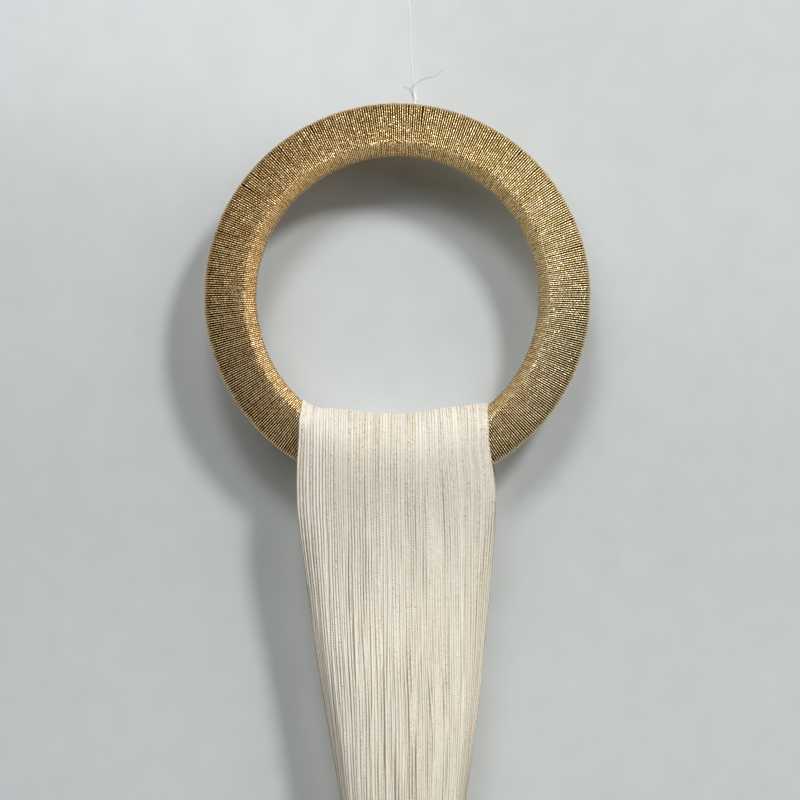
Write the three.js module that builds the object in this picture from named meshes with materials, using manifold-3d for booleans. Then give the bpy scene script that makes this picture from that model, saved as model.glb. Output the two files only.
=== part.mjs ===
// A wall hanging: a flat ring wound with gold cord, and a thick hank of cotton yarn
// folded over the ring's lower arc, gathered by a wound binding and cut level below it.
// Millimetres, +Z up, the ring's axis along Y, the front towards -Y.
// The origin is where the hook carries the thin hanging thread.

import * as THREE from 'three';
import { mergeVertices } from 'three/addons/utils/BufferGeometryUtils.js';
import Module from 'manifold-3d';

const wasm = await Module();
wasm.setup();

// Clear space between pieces that touch on the real object
const TOUCH_GAP = 0.3;

// Wound ring
const RING_CENTRE = new THREE.Vector3(-5.4, 0, -170);
const RING_OUTER_RADIUS = 99.5;
const RING_INNER_RADIUS = 74.2;
const RING_DEPTH = 23;
const RING_BEVEL_WIDTH = 4.6;
const RING_BEVEL_DEPTH = 6;
// How much the two faces fall back from the bevel to the rim
const RING_FACE_FALL = 3;
const RING_RIM_ROUND = 4;
const RING_RIM_STEPS = 3;
const RING_SIDES = 80;

// Hank of yarn: locks that run from the neck up the back, over the ring and down the front
const LOCK_COUNT = 36;
const LOCK_FRONT_SHARE = 0.35;
const LOCK_CORE_SHARE = 0.43;
const LOCK_FUSE = 0.12;
const LOCK_RELIEF = [0, 0.7, 0.2, 0.9, 0.4, 0.1, 0.8];

// Where the hank lies over the ring's inner edge
const SADDLE_MIDDLE = -1;
const SADDLE_HALF_WIDTH = 48.4;
const SADDLE_STEPS = 6;
const SADDLE_SPRING_RADIUS = 88;
const SADDLE_SINK = 2;
const SADDLE_REACH = 23.4;
const SADDLE_RIM_REACH = 13.6;
const SADDLE_CROWN = 0.8;
const FACE_CLEARANCE = 0.8;

// The saddle's upper edge seen from the front: x from the ring's axis, and drop below the axis
const SADDLE_TOP = [
  { x: -49.4, drop: 54.4 },
  { x: -42.0, drop: 58.3 },
  { x: -29.6, drop: 59.6 },
  { x: -13.0, drop: 61.2 },
  { x: 12.0, drop: 60.7 },
  { x: 24.4, drop: 59.1 },
  { x: 36.9, drop: 57.6 },
  { x: 47.4, drop: 54.9 },
];

// Sections of the two hanging sheets. drop is below the ring's axis, middle and half give
// the width, reach and rim how far the outside stands from the middle plane at the centre
// and at the edges, core and rimCore the same for the inside, crown the section's roundness,
// and backShift and backHalf what the back sheet's place and half width add.
const SHEET_SECTIONS = [
  { drop: 104, middle: -0.6, half: 49.6, reach: 23.4, rim: 13.6, core: 12.4, rimCore: 12.4,
    crown: 0.8, backShift: 1.6, backHalf: 1.6 },
  { drop: 134, middle: 0.1, half: 48.2, reach: 23.5, rim: 12.5, core: 10.5, rimCore: 10.4,
    crown: 0.75, backShift: 1.2, backHalf: 1.2 },
  { drop: 175, middle: 1.1, half: 44.6, reach: 23.4, rim: 10.6, core: 7.4, rimCore: 8.0,
    crown: 0.7, backShift: 0.4, backHalf: 0.4 },
  { drop: 206, middle: 2.1, half: 40.7, reach: 23.2, rim: 9.2, core: 5.0, rimCore: 6.2,
    crown: 0.65, backShift: 0, backHalf: 0 },
  { drop: 256, middle: 2.8, half: 33.0, reach: 22.4, rim: 7.2, core: 1.8, rimCore: 3.4,
    crown: 0.55, backShift: 0, backHalf: 0 },
  { drop: 290, middle: 3.0, half: 27.2, reach: 21.4, rim: 5.4, core: 0.7, rimCore: 1.6,
    crown: 0.5, backShift: 0, backHalf: 0 },
  { drop: 323, middle: 3.1, half: 18.6, reach: 18.6, rim: 2.4, core: 0, rimCore: 0,
    crown: 0.5, backShift: 0, backHalf: 0 },
];

// Neck, the binding round it and the tail below it
const NECK_MIDDLE = 3.1;
const NECK_RADIUS = 20.5;
const NECK_TOP_DROP = 321;
const NECK_HEIGHT = 20;
const NECK_SIDES = 32;
const WRAP_TURNS = 12;
const WRAP_CORD = 1.6;
const WRAP_TURN_STEPS = 2;
const WRAP_SIDES = 28;
const TAIL_LENGTH = 195;
const TAIL_ROOT_OVERLAP = 2;
const TAIL_LOCK_SHARE = 0.84;
const TAIL_RINGS = [
  { rootRadius: 0, endRadius: 0, rootWidth: 4.6, endWidth: 5.6, locks: 1 },
  { rootRadius: 5.2, endRadius: 7.6, rootWidth: 4.6, endWidth: 6.6, locks: 7 },
  { rootRadius: 10.0, endRadius: 14.6, rootWidth: 4.8, endWidth: 7.0, locks: 13 },
  { rootRadius: 14.4, endRadius: 21.2, rootWidth: 5.0, endWidth: 7.3, locks: 18 },
  { rootRadius: 18.2, endRadius: 27.4, rootWidth: 4.7, endWidth: 7.1, locks: 24 },
];
// along is a section's place down the tail, spread how far it has opened, full its fullness
const TAIL_SECTIONS = [
  { along: 0, spread: 0, full: 0.8 },
  { along: 0.12, spread: 0.46, full: 0.94 },
  { along: 0.55, spread: 0.96, full: 1 },
  { along: 1, spread: 0.96, full: 0.8 },
];

// Thin thread that carries the ring, its knots, its loop and its loose ends
const THREAD_DIAMETER = 0.9;
const THREAD_END_DIAMETER = 0.5;
const THREAD_SIDES = 8;
const THREAD_STEP_DIAMETERS = 2.5;
const KNOT_RADIUS = 1.4;
const KNOT_SIDES = 12;
const KNOT_FOOT = 3.5;
// The knot's outline in shares of its radius
const KNOT_OUTLINE = [
  { out: 0.75, up: -0.85 },
  { out: 1, up: -0.45 },
  { out: 0.8, up: 0 },
  { out: 1, up: 0.45 },
  { out: 0.75, up: 0.85 },
  { out: 0, up: 1 },
];
const RING_KNOT = new THREE.Vector3(3.7, 0, -67.1);
const LOOP_KNOT = new THREE.Vector3(0.4, 0, -13.4);
const LOOP_HALF_WIDTH = 3.2;
const LOOP_FOOT_HALF = 0.6;
const LOOP_LOWER_HALF = 2.6;
const LOOP_LOWER_Z = -6.5;

// Route of the taut thread, from the ring's knot up to the loop's knot
const THREAD_ROUTE = [
  [3.4, 0, -65.4],
  [3.0, 0, -59.3],
  [2.1, 0, -51.5],
  [1.4, 0, -38.0],
  [0.7, 0, -18.0],
  [0.5, 0, -15.1],
];
const THREAD_END_ROUTES = {
  thread_end_left: [[2.6, -1.5, -66.1], [1.7, -1.7, -63.8], [0.4, -1.2, -62.3], [-2.5, -0.6, -60.9]],
  thread_end_right: [
    [3.2, -1.7, -65.9], [3.0, -1.7, -61.6], [4.9, -1.6, -58.7], [9.2, -1.2, -56.7],
    [14.4, -0.7, -55.3], [18.6, -0.2, -51.8],
  ],
  thread_end_up: [[4.5, 0.2, -65.3], [4.6, 0.4, -62.0], [4.3, 0.4, -55.0], [4.1, 0.3, -46.8]],
};

const goldCord = () => new THREE.MeshStandardMaterial({ color: 0xa98a55, roughness: 0.45, metalness: 0.6 });
const cottonYarn = () => new THREE.MeshStandardMaterial({ color: 0xe0d8c8, roughness: 0.95, metalness: 0 });
const whiteThread = () => new THREE.MeshStandardMaterial({ color: 0xe9ebea, roughness: 0.8, metalness: 0 });

function closedBody(geometry) {
  geometry.deleteAttribute('normal');
  geometry.deleteAttribute('uv');
  return mergeVertices(geometry);
}

function toManifold(geometry) {
  const body = closedBody(geometry);
  return new wasm.Manifold(new wasm.Mesh({
    numProp: 3,
    vertProperties: new Float32Array(body.attributes.position.array),
    triVerts: new Uint32Array(body.index.array),
  }));
}

function fromManifold(solid) {
  const mesh = solid.getMesh();
  const geometry = new THREE.BufferGeometry();
  geometry.setAttribute('position', new THREE.BufferAttribute(mesh.vertProperties, 3));
  geometry.setIndex(new THREE.BufferAttribute(mesh.triVerts, 1));
  return geometry;
}

function namedMesh(name, geometry, material) {
  const mesh = new THREE.Mesh(geometry, material);
  mesh.name = name;
  return mesh;
}

// Wound ring: a section with a bevel inside, faces that fall back and a rounded rim, grown by grow
function ringSection(grow) {
  const inner = RING_INNER_RADIUS - grow;
  const outer = RING_OUTER_RADIUS + grow;
  const half = RING_DEPTH / 2 + grow;
  const rimHalf = half - RING_FACE_FALL;
  const round = RING_RIM_ROUND + grow;
  const frontHalf = [
    new THREE.Vector2(inner, RING_BEVEL_DEPTH - half),
    new THREE.Vector2(inner + RING_BEVEL_WIDTH, -half),
  ];
  for (let step = 0; step <= RING_RIM_STEPS; step += 1) {
    const angle = (Math.PI / 2) * (step / RING_RIM_STEPS);
    frontHalf.push(new THREE.Vector2(
      outer - round + round * Math.sin(angle),
      round - rimHalf - round * Math.cos(angle),
    ));
  }
  const backHalf = frontHalf.map((point) => new THREE.Vector2(point.x, -point.y)).reverse();
  return [...frontHalf, ...backHalf];
}

function ringGeometry(grow) {
  const section = ringSection(grow);
  return new THREE.LatheGeometry([...section, section[0]], RING_SIDES);
}

// A lock of yarn: a box drawn out along its stations, with four corners at each
function lockGeometry(stations) {
  const steps = stations.length - 1;
  const geometry = new THREE.BoxGeometry(2, 2, steps, 1, 1, steps);
  const position = geometry.attributes.position;
  for (let index = 0; index < position.count; index += 1) {
    const station = stations[Math.round(position.getZ(index) + steps / 2)];
    const side = position.getX(index);
    const edge = position.getY(index) > 0 ? station.outer : station.inner;
    position.setXYZ(index, station.x + side * edge.half, edge.y, edge.z);
  }
  return geometry;
}

function tableValue(rows, key, at, column) {
  if (at <= rows[0][key]) {
    return rows[0][column];
  }
  for (let index = 1; index < rows.length; index += 1) {
    if (at <= rows[index][key]) {
      const low = rows[index - 1];
      const share = (at - low[key]) / (rows[index][key] - low[key]);
      return low[column] + share * (rows[index][column] - low[column]);
    }
  }
  return rows[rows.length - 1][column];
}

// One station of the hanging sheets. side is -1 on the front sheet and 1 on the back one.
function sheetStation(section, across, relief, side) {
  const atBack = side > 0 ? 1 : 0;
  const half = section.half + atBack * section.backHalf;
  const pitch = (2 * half) / LOCK_COUNT;
  const fullness = (1 - across * across) ** section.crown;
  const outside = section.rim + (section.reach - section.rim) * fullness - relief;
  const inside = section.rimCore + (section.core - section.rimCore) * fullness;
  return {
    x: section.middle + atBack * section.backShift + across * half,
    outer: { half: LOCK_FRONT_SHARE * pitch, y: side * outside, z: -section.drop },
    inner: { half: LOCK_CORE_SHARE * pitch, y: side * inside, z: -section.drop },
  };
}

// The stations that pass over the ring, from back to front: an arch round the ring's section
function saddleStations(across, relief) {
  const pitch = (2 * SADDLE_HALF_WIDTH) / LOCK_COUNT;
  const x = SADDLE_MIDDLE + across * SADDLE_HALF_WIDTH;
  const fullness = (1 - across * across) ** SADDLE_CROWN;
  const spring = -Math.sqrt(SADDLE_SPRING_RADIUS ** 2 - x * x);
  const ringTop = -Math.sqrt(RING_INNER_RADIUS ** 2 - x * x);
  const top = -tableValue(SADDLE_TOP, 'x', x, 'drop') - relief;
  const reach = SADDLE_RIM_REACH + (SADDLE_REACH - SADDLE_RIM_REACH) * fullness - relief;
  const hold = RING_DEPTH / 2 + FACE_CLEARANCE;
  const stations = [];
  for (let step = 0; step <= SADDLE_STEPS; step += 1) {
    const angle = (Math.PI * step) / SADDLE_STEPS;
    const atSpring = step === 0 || step === SADDLE_STEPS;
    const innerReach = atSpring ? hold : RING_DEPTH / 2 - SADDLE_SINK;
    const fused = pitch / 2 + LOCK_FUSE;
    stations.push({
      x,
      outer: {
        half: atSpring ? LOCK_FRONT_SHARE * pitch : fused,
        y: reach * Math.cos(angle),
        z: spring + (top - spring) * Math.sin(angle),
      },
      inner: {
        half: atSpring ? LOCK_CORE_SHARE * pitch : fused,
        y: innerReach * Math.cos(angle),
        z: spring + (ringTop - SADDLE_SINK - spring) * Math.sin(angle),
      },
    });
  }
  return stations;
}

function loopLock(index) {
  const across = -1 + (2 * index + 1) / LOCK_COUNT;
  const relief = LOCK_RELIEF[index % LOCK_RELIEF.length];
  const back = SHEET_SECTIONS.map((section) => sheetStation(section, across, relief, 1));
  const front = SHEET_SECTIONS.map((section) => sheetStation(section, across, relief, -1));
  return lockGeometry([...back.reverse(), ...saddleStations(across, relief), ...front]);
}

// A tail lock keeps its place in its ring and spreads with its share of the tail's length
function tailLock(ring, index) {
  const angle = (2 * Math.PI * (index + 0.5)) / ring.locks;
  const top = NECK_TOP_DROP + NECK_HEIGHT - TAIL_ROOT_OVERLAP;
  const sections = TAIL_SECTIONS.map((section) => {
    const radius = ring.rootRadius + (ring.endRadius - ring.rootRadius) * section.spread;
    const width = ring.rootWidth + (ring.endWidth - ring.rootWidth) * section.spread;
    const half = (width * TAIL_LOCK_SHARE * section.full) / 2;
    return { radius, half, drop: top + TAIL_LENGTH * section.along };
  });
  const steps = sections.length - 1;
  const geometry = new THREE.BoxGeometry(2, 2, steps, 1, 1, steps);
  const position = geometry.attributes.position;
  for (let point = 0; point < position.count; point += 1) {
    const section = sections[Math.round(steps / 2 - position.getZ(point))];
    const outward = section.radius + position.getY(point) * section.half;
    const sideways = -position.getX(point) * section.half;
    position.setXYZ(
      point,
      NECK_MIDDLE + outward * Math.cos(angle) - sideways * Math.sin(angle),
      outward * Math.sin(angle) + sideways * Math.cos(angle),
      -section.drop,
    );
  }
  return geometry;
}

function neckGeometry() {
  const neck = new THREE.CylinderGeometry(NECK_RADIUS, NECK_RADIUS, NECK_HEIGHT, NECK_SIDES);
  neck.rotateX(Math.PI / 2);
  neck.translate(NECK_MIDDLE, 0, -NECK_TOP_DROP - NECK_HEIGHT / 2);
  return neck;
}

function hankGeometry() {
  let hank = toManifold(neckGeometry());
  for (let index = 0; index < LOCK_COUNT; index += 1) {
    hank = hank.add(toManifold(loopLock(index)));
  }
  for (const ring of TAIL_RINGS) {
    for (let index = 0; index < ring.locks; index += 1) {
      hank = hank.add(toManifold(tailLock(ring, index)));
    }
  }
  return fromManifold(hank.subtract(toManifold(ringGeometry(TOUCH_GAP))));
}

// Binding: the turns side by side on the neck, as bulges of one wound solid
function wrapGeometry() {
  const bore = NECK_RADIUS + TOUCH_GAP;
  const height = WRAP_TURNS * WRAP_CORD;
  const low = -height / 2;
  const section = [new THREE.Vector2(bore, low)];
  for (let turn = 0; turn < WRAP_TURNS; turn += 1) {
    for (let step = 0; step < WRAP_TURN_STEPS; step += 1) {
      const angle = (Math.PI * (step + 0.5)) / WRAP_TURN_STEPS;
      section.push(new THREE.Vector2(
        bore + WRAP_CORD / 2 + (WRAP_CORD / 2) * Math.sin(angle),
        low + WRAP_CORD * (turn + 0.5 - 0.5 * Math.cos(angle)),
      ));
    }
  }
  section.push(new THREE.Vector2(bore, -low));
  section.push(section[0]);
  const wrap = new THREE.LatheGeometry(section, WRAP_SIDES);
  wrap.rotateX(Math.PI / 2);
  wrap.translate(NECK_MIDDLE, 0, -NECK_TOP_DROP - NECK_HEIGHT / 2);
  return wrap;
}

function threadGeometry(points, diameter) {
  const route = new THREE.CatmullRomCurve3(points.map((point) => new THREE.Vector3(...point)));
  const circle = new THREE.Shape();
  circle.absarc(0, 0, diameter / 2, 0, 2 * Math.PI, false);
  return new THREE.ExtrudeGeometry(circle, {
    steps: Math.ceil(route.getLength() / (THREAD_STEP_DIAMETERS * diameter)),
    curveSegments: THREAD_SIDES / 2,
    extrudePath: route,
  });
}

// A small knot: two turns of the thread drawn tight, seen as two bulges, on a foot of thread
// that goes in among the ring's turns
function knotGeometry(centre, foot) {
  const bulges = KNOT_OUTLINE.map((row) => new THREE.Vector2(KNOT_RADIUS * row.out, KNOT_RADIUS * row.up));
  const section = [
    new THREE.Vector2(0, -foot),
    new THREE.Vector2(THREAD_DIAMETER / 2, -foot),
    new THREE.Vector2(THREAD_DIAMETER / 2, -0.95 * KNOT_RADIUS),
    ...bulges,
  ];
  const knot = new THREE.LatheGeometry(section, KNOT_SIDES);
  knot.rotateX(Math.PI / 2);
  knot.translate(centre.x, centre.y, centre.z);
  return knot;
}

function hookLoopRoute() {
  const top = THREAD_DIAMETER / 2;
  const foot = LOOP_KNOT.z + KNOT_RADIUS + TOUCH_GAP;
  return [
    [LOOP_KNOT.x - LOOP_FOOT_HALF, 0, foot],
    [-LOOP_LOWER_HALF, 0, LOOP_LOWER_Z],
    [-LOOP_HALF_WIDTH, 0, -LOOP_HALF_WIDTH],
    [0, 0, top],
    [LOOP_HALF_WIDTH, 0, -LOOP_HALF_WIDTH],
    [LOOP_LOWER_HALF, 0, LOOP_LOWER_Z],
    [LOOP_KNOT.x + LOOP_FOOT_HALF, 0, foot],
  ];
}

const hanging = new THREE.Group();

const ringGroup = new THREE.Group();
ringGroup.position.copy(RING_CENTRE);
ringGroup.add(namedMesh('wrapped_ring', closedBody(ringGeometry(0)), goldCord()));
ringGroup.add(namedMesh('yarn_hank', hankGeometry(), cottonYarn()));
ringGroup.add(namedMesh('gather_wrap', closedBody(wrapGeometry()), cottonYarn()));
hanging.add(ringGroup);

hanging.add(namedMesh('thread_knot', closedBody(knotGeometry(RING_KNOT, KNOT_FOOT)), whiteThread()));
hanging.add(namedMesh('loop_knot', closedBody(knotGeometry(LOOP_KNOT, KNOT_RADIUS)), whiteThread()));
hanging.add(namedMesh(
  'hanging_thread',
  closedBody(threadGeometry(THREAD_ROUTE, THREAD_DIAMETER)),
  whiteThread(),
));
hanging.add(namedMesh(
  'hook_loop',
  closedBody(threadGeometry(hookLoopRoute(), THREAD_DIAMETER)),
  whiteThread(),
));
for (const [name, points] of Object.entries(THREAD_END_ROUTES)) {
  hanging.add(namedMesh(name, closedBody(threadGeometry(points, THREAD_END_DIAMETER)), whiteThread()));
}

export default hanging;
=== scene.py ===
import math

import bpy
import numpy as np
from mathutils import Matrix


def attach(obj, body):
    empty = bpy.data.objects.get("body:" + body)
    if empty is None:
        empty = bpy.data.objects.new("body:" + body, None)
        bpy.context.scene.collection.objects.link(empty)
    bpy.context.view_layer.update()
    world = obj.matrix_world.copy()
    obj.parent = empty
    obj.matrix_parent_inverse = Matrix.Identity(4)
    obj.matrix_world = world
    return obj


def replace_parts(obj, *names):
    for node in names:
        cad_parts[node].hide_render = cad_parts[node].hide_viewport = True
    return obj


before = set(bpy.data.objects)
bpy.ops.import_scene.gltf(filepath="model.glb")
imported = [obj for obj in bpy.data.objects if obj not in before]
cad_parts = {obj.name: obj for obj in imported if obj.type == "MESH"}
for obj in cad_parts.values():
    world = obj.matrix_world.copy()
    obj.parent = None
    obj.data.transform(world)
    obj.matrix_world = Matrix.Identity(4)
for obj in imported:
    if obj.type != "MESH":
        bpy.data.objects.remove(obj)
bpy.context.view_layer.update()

SEED = 4999
MM = 0.001
TAU = 2 * math.pi
# Steps of this share of a turn spread any number of strands evenly
GOLDEN = 0.61803

# Camera: square picture, its middle and its width on the plane of the ring
CAMERA_DISTANCE = 1.1
VIEW_CENTRE = (-0.0041, -0.2236)
VIEW_WIDTH = 0.4155
SENSOR = 36.0
CLIP_START = 0.02
CLIP_END = 20

# Wound ring, as in the CAD source
RING_X = -5.4
RING_Z = -170.0
RING_OUTER = 99.5
RING_INNER = 74.2
RING_HALF = 11.5
BEVEL_WIDTH = 4.6
BEVEL_DEPTH = 6.0
FACE_FALL = 3.0
RIM_ROUND = 4.0
RIM_STEPS = 4
FACE_SHARES = (0.4, 0.75)
# How far from the bevel's corners the section's points lie, where the turns bend round them
BEND_ALONG = 0.35
BEND_IN = 0.2
BEND_DEEP = 0.4

# Turns on the ring, how unevenly they lie, and how they crowd at its inner edge
TURNS = 505
TURN_CORD = 1.22
TURN_SIDES = 8
TURN_PIECES = 3
TURN_KNOTS = 4
TURN_JITTER = 0.045
TURN_LIFT = 0.05
CROWD_WIDTH = 12
CROWD_LIFT = 0.16
# Places where the turns have parted at the outer edge: pixel x and y, and the gap's width
GAPS = [
    (243, 186, 0.9), (254, 176, 0.6), (272, 156, 0.7), (280, 150, 0.5), (311, 129, 0.5),
    (407.5, 111, 0.6), (421.6, 111, 1.0), (493, 136, 0.6), (516, 156, 0.7), (537, 170, 0.6),
    (570, 221, 0.6), (578, 247, 0.5),
]
RING_PIXEL = (397.0, 296.3)
# How far a gap moves the turns beside it, in radians, how deep it reaches in from the rim, and
# how much of a turn's pitch its middle takes
GAP_SPREAD = 0.045
GAP_DEPTH = 12.0
GAP_MIDDLE = 0.3

# Yarn sheets, as in the CAD source but for the saddle, where the strands crest a little higher
SHEET = {
    "drop": [72, 104, 134, 175, 206, 256, 290, 323],
    "middle": [-1.0, -0.6, 0.1, 1.1, 2.1, 2.8, 3.0, 3.1],
    "half": [48.6, 49.6, 48.2, 44.6, 40.7, 33.0, 27.2, 18.6],
    "reach": [23.4, 23.4, 23.5, 23.4, 23.2, 22.4, 21.4, 18.6],
    "rim": [13.6, 13.6, 12.5, 10.6, 9.2, 7.2, 5.4, 2.4],
    "core": [12.4, 12.4, 10.5, 7.4, 5.0, 1.8, 0.7, 0.0],
    "rimCore": [12.4, 12.4, 10.4, 8.0, 6.2, 3.4, 1.6, 0.0],
    "crown": [0.8, 0.8, 0.75, 0.7, 0.65, 0.55, 0.5, 0.5],
    "backShift": [1.6, 1.6, 1.2, 0.4, 0, 0, 0, 0],
    "backHalf": [1.6, 1.6, 1.2, 0.4, 0, 0, 0, 0],
}
WIDEST_HALF = SHEET["half"][1]
SADDLE_MIDDLE = -1.0
SADDLE_HALF = 48.4
SPRING_RADIUS = 88.0
SADDLE_TOP_X = [-49.4, -42.0, -29.6, -13.0, 12.0, 24.4, 36.9, 47.4]
SADDLE_TOP_DROP = [54.2, 56.9, 58.0, 59.9, 59.6, 57.2, 55.9, 54.6]
BOUND_DROP = 337.0
STRAND = 1.42
STRAND_LAY = 4.2
STRAND_SIDES = 6
STRAND_PLIES = 3
# Strands press a little into what they lie on
STRAND_PRESS = 0.92
LAY_PHASES = 40

# Stations along a strand: up the back, over the ring and down the front
BACK_STATIONS = 13
BACK_SPACING = 0.9
ARCH_STATIONS = 11
ARCH_LENGTH = 40.0
FRONT_STATIONS = 26
FRONT_SPACING = 0.95

# Layers of strands from the outside in: how many, how deep, how much they wander
LAYERS = [
    {"count": 70, "inset": 0.7, "wander": 0.34, "relief": 0.34, "close": 0.25},
    {"count": 69, "inset": 1.15, "wander": 0.34, "relief": 0.34, "close": 0.55},
    {"count": 66, "inset": 2.2, "wander": 0.6, "relief": 0.5, "close": 0.85},
]
LAYER_OVER_CORE = 0.7
LAYER_OVER_RING = 0.9
# Waves along the strands: how high, and the lengths they are made of
WANDER_LENGTHS = (110, 190, 300)
RELIEF_LENGTHS = (70, 130, 220)
SECOND_WAVES = (0.15, (90, 160))
THICK_WAVES = (0.05, (18, 33))
SWING_WAVES = (0.45, (150, 260))
SWING_BOWS = 3
SWING_START = 0.4
# Wander dies away at the hank's edges, and strands lie closer on the ring than as they hang
EDGE_CALM = 0.75
LOOSE_ON_RING = 0.45
LOOSE_BELOW = 0.75
LOOSE_OVER = 110
# As the hank narrows its outer strands turn round its sides
SIDE_TURN = 1.04
LEAST_NARROWING = 0.001
# Strands that no longer fit side by side sink in: how deep, and how much of their width goes
SINK_DEPTH = 1.0
SINK_WIDTH = 0.82
SINK_SOFTNESS = 0.25
SINK_BELOW_ROOM = 0.97
ORDER_JITTER = 0.08
NECK_ROOM = 0.45
NECK_ROOM_FROM = 0.6
WIDTH_JITTER = 0.14
WIDTH_JITTER_MOST = 0.4
# Near the top right a few strands come over the ring at a slant
SLANT = -2.2
SLANT_AT = 0.80
SLANT_WIDTH = 0.08
SLANT_LENGTH = 55
# Below the ring the outer strands of the deeper layers close the slot between the sheets
BELOW_RING = 98.0
CLOSE_OVER = 95.0
CLOSE_SPAN = 0.09
# How far the outermost strands stand out: from the ring's edge on the right, and already on the
# ring on the left. rise is how fast they do, front and back the two sheets' shares.
RIGHT_FLARE = {"out": 2.1, "from": 82.0, "rise": 9, "to": 155.0, "front": 1.0, "back": 0.3}
LEFT_FLARE = {"out": 2.3, "from": 61.0, "rise": 18, "to": 160.0, "front": 1.0, "back": 0.0}
FLARE_SPAN = 0.16
FLARE_FADE = 60
# The body of strands behind the layers
FILL_INSET = 3.6
FILL_RIDGES = 64
FILL_RIDGE_STEPS = 4
FILL_RIDGE = 0.45
FILL_MARGIN = 0.75
FILL_INNER_MARGIN = 0.65
FILL_OVER_CORE = 0.1
FILL_UNDER_RING = 0.7

# Neck and its binding
NECK_MIDDLE = 3.1
BIND_RADIUS = 20.8
BIND_TURNS = 12
BIND_CORD = 1.6
BIND_TOP_DROP = 321.4
BIND_STEPS = 64
BIND_SIDES = 8
BIND_START = 0.6
BIND_WAVE = 0.12
BIND_WAVE_RATES = (2.3, 0.7)
BIND_KNOTS = 3
BIND_WOBBLE = 0.06
# Its two ends are tucked in, and its turns press together
BIND_TUCK = 1.6
BIND_TUCK_TURNS = 0.06
BIND_PRESS = 1.02

# Tail
TAIL_TOP_DROP = 329.0
TAIL_END_DROP = 534.0
TAIL_STATIONS = 15
TAIL_SPREAD_AT = [0, 0.05, 0.16, 0.35, 0.58, 1]
TAIL_SPREAD = [0, 0.06, 0.5, 0.82, 0.96, 0.98]
TAIL_ROOT_SHARE = 0.655
# Rings of tail strands: radius at the cut end, strand diameter, sides
TAIL_RINGS = [
    (29.2, 1.55, 6), (27.6, 1.6, 6), (25.8, 1.8, 5), (23.6, 2.3, 5), (21.2, 2.4, 5),
    (18.6, 2.6, 5), (16.0, 2.6, 5), (13.2, 2.7, 5), (10.4, 2.7, 5), (7.6, 2.7, 5),
    (4.8, 2.7, 5), (2.0, 2.7, 5),
]
TAIL_PITCH = 1.04
# Some strands of a ring start deeper, and lose most of that depth as the tail opens
TAIL_DEEPER = 1.1
TAIL_DEEPER_FROM = 0.62
TAIL_DEEPER_LOST = 0.85
TAIL_LOOSE = 0.55
TAIL_LOOSE_BY = 0.7
TAIL_SWAY_BY = 0.5
TAIL_CUT_JITTER = 0.45
# Waves along the tail, with lengths as shares of it
TAIL_CURL_WAVES = (0.35, (0.4, 0.7))
TAIL_SWAY_WAVES = (0.9, (0.45, 0.8, 1.3))

# Thread, as in the CAD source
THREAD = 0.9
THREAD_LAY = 2.6
THREAD_PLIES = 2
THREAD_SIDES = 10
THREAD_STATIONS = 120
THREAD_LOBES = (THREAD_LAY, 0.22)
HOOK_STATIONS = 100
THREAD_END = 0.5
END_STATIONS = 50
END_LOBES = (THREAD_LAY, 0.3)
END_TAPER = 0.5
THREAD_ROUTE = [
    (3.4, 0, -65.4), (3.0, 0, -59.3), (2.1, 0, -51.5), (1.4, 0, -38.0), (0.7, 0, -18.0), (0.5, 0, -15.1),
]
HOOK_ROUTE = [
    (-0.2, 0, -11.7), (-2.6, 0, -6.5), (-3.2, 0, -3.2), (0, 0, 0.45), (3.2, 0, -3.2),
    (2.6, 0, -6.5), (1.0, 0, -11.7),
]
END_ROUTES = {
    "left": [(2.6, -1.5, -66.1), (1.7, -1.7, -63.8), (0.4, -1.2, -62.3), (-2.5, -0.6, -60.9)],
    "right": [
        (2.4, -1.6, -65.9), (1.4, -1.9, -62.9), (2.9, -1.8, -60.6), (5.4, -1.6, -58.6), (9.2, -1.2, -56.7),
        (14.4, -0.7, -55.3), (18.6, -0.2, -51.8),
    ],
    "up": [(4.5, 0.2, -65.3), (4.6, 0.4, -62.0), (4.3, 0.4, -55.0), (4.1, 0.3, -46.8)],
}
RING_KNOT = (3.7, 0.0, -67.1)
LOOP_KNOT = (0.4, 0.0, -13.4)
# A knot's coil: its radius at the foot and how much less it is at the top, its pitch, and the
# radii of its thread and of the straight thread inside it
KNOT_STATIONS = 90
KNOT_RADIUS = 0.80
KNOT_NARROWING = 0.35
KNOT_PITCH = 0.75
KNOT_THREADS = [[0.42], [0.60]]
KNOT_LOBES = (THREAD_LAY, 0.2)

# Share of a strip of the baking map that is left free at each side
BAKE_MARGIN = 0.04

# Looks of the yarn: how fast its fibres and patches vary from strand to strand and along one, and what
# each cause adds to the brightness. The ply share is painted shade in the grooves between the plies.
FIBRE_ALONG = 0.75
FIBRE_AROUND = 2.6
FIBRE_APART = 3.7
FIBRE_GAIN = 3.4
FIBRE_HEIGHT = 0.5
PATCH_ALONG = 0.02
PATCH_APART = 0.21
PATCH_CUT = 0.5
PATCH_GAIN = 2.0
YARN_BASE = -0.03
YARN_SHARES = {"tone": 0.34, "ply": 0.30, "fibre": 0.50, "patch": 0.16}
YARN_ROUGHNESS = 0.72
FIBRE_ROUGHNESS = 0.2
# The dark stop is mostly reached in the painted shade along the strands' sides
YARN_STOPS = {"dark": 0.08, "middle": 0.40, "light": 0.80}
CREAM = {"dark": (0.31, 0.20, 0.085), "middle": (0.86, 0.758, 0.555), "light": (0.99, 0.94, 0.83)}
# A darker copy of the cream: painted shade for the body of strands behind the outer ones
SHADED_CREAM = {"dark": (0.34, 0.26, 0.16), "middle": (0.60, 0.51, 0.37), "light": (0.78, 0.70, 0.56)}
WHITE = {"dark": (0.74, 0.75, 0.76), "middle": (0.90, 0.91, 0.92), "light": (0.98, 0.98, 0.98)}
GREY = {"dark": (0.30, 0.31, 0.31), "middle": (0.48, 0.49, 0.49), "light": (0.66, 0.67, 0.67)}
# Painted shade: the upper hank a little darker and cooler
UPPER_SHADE_TINT = (0.775, 0.787, 0.828)
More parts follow.
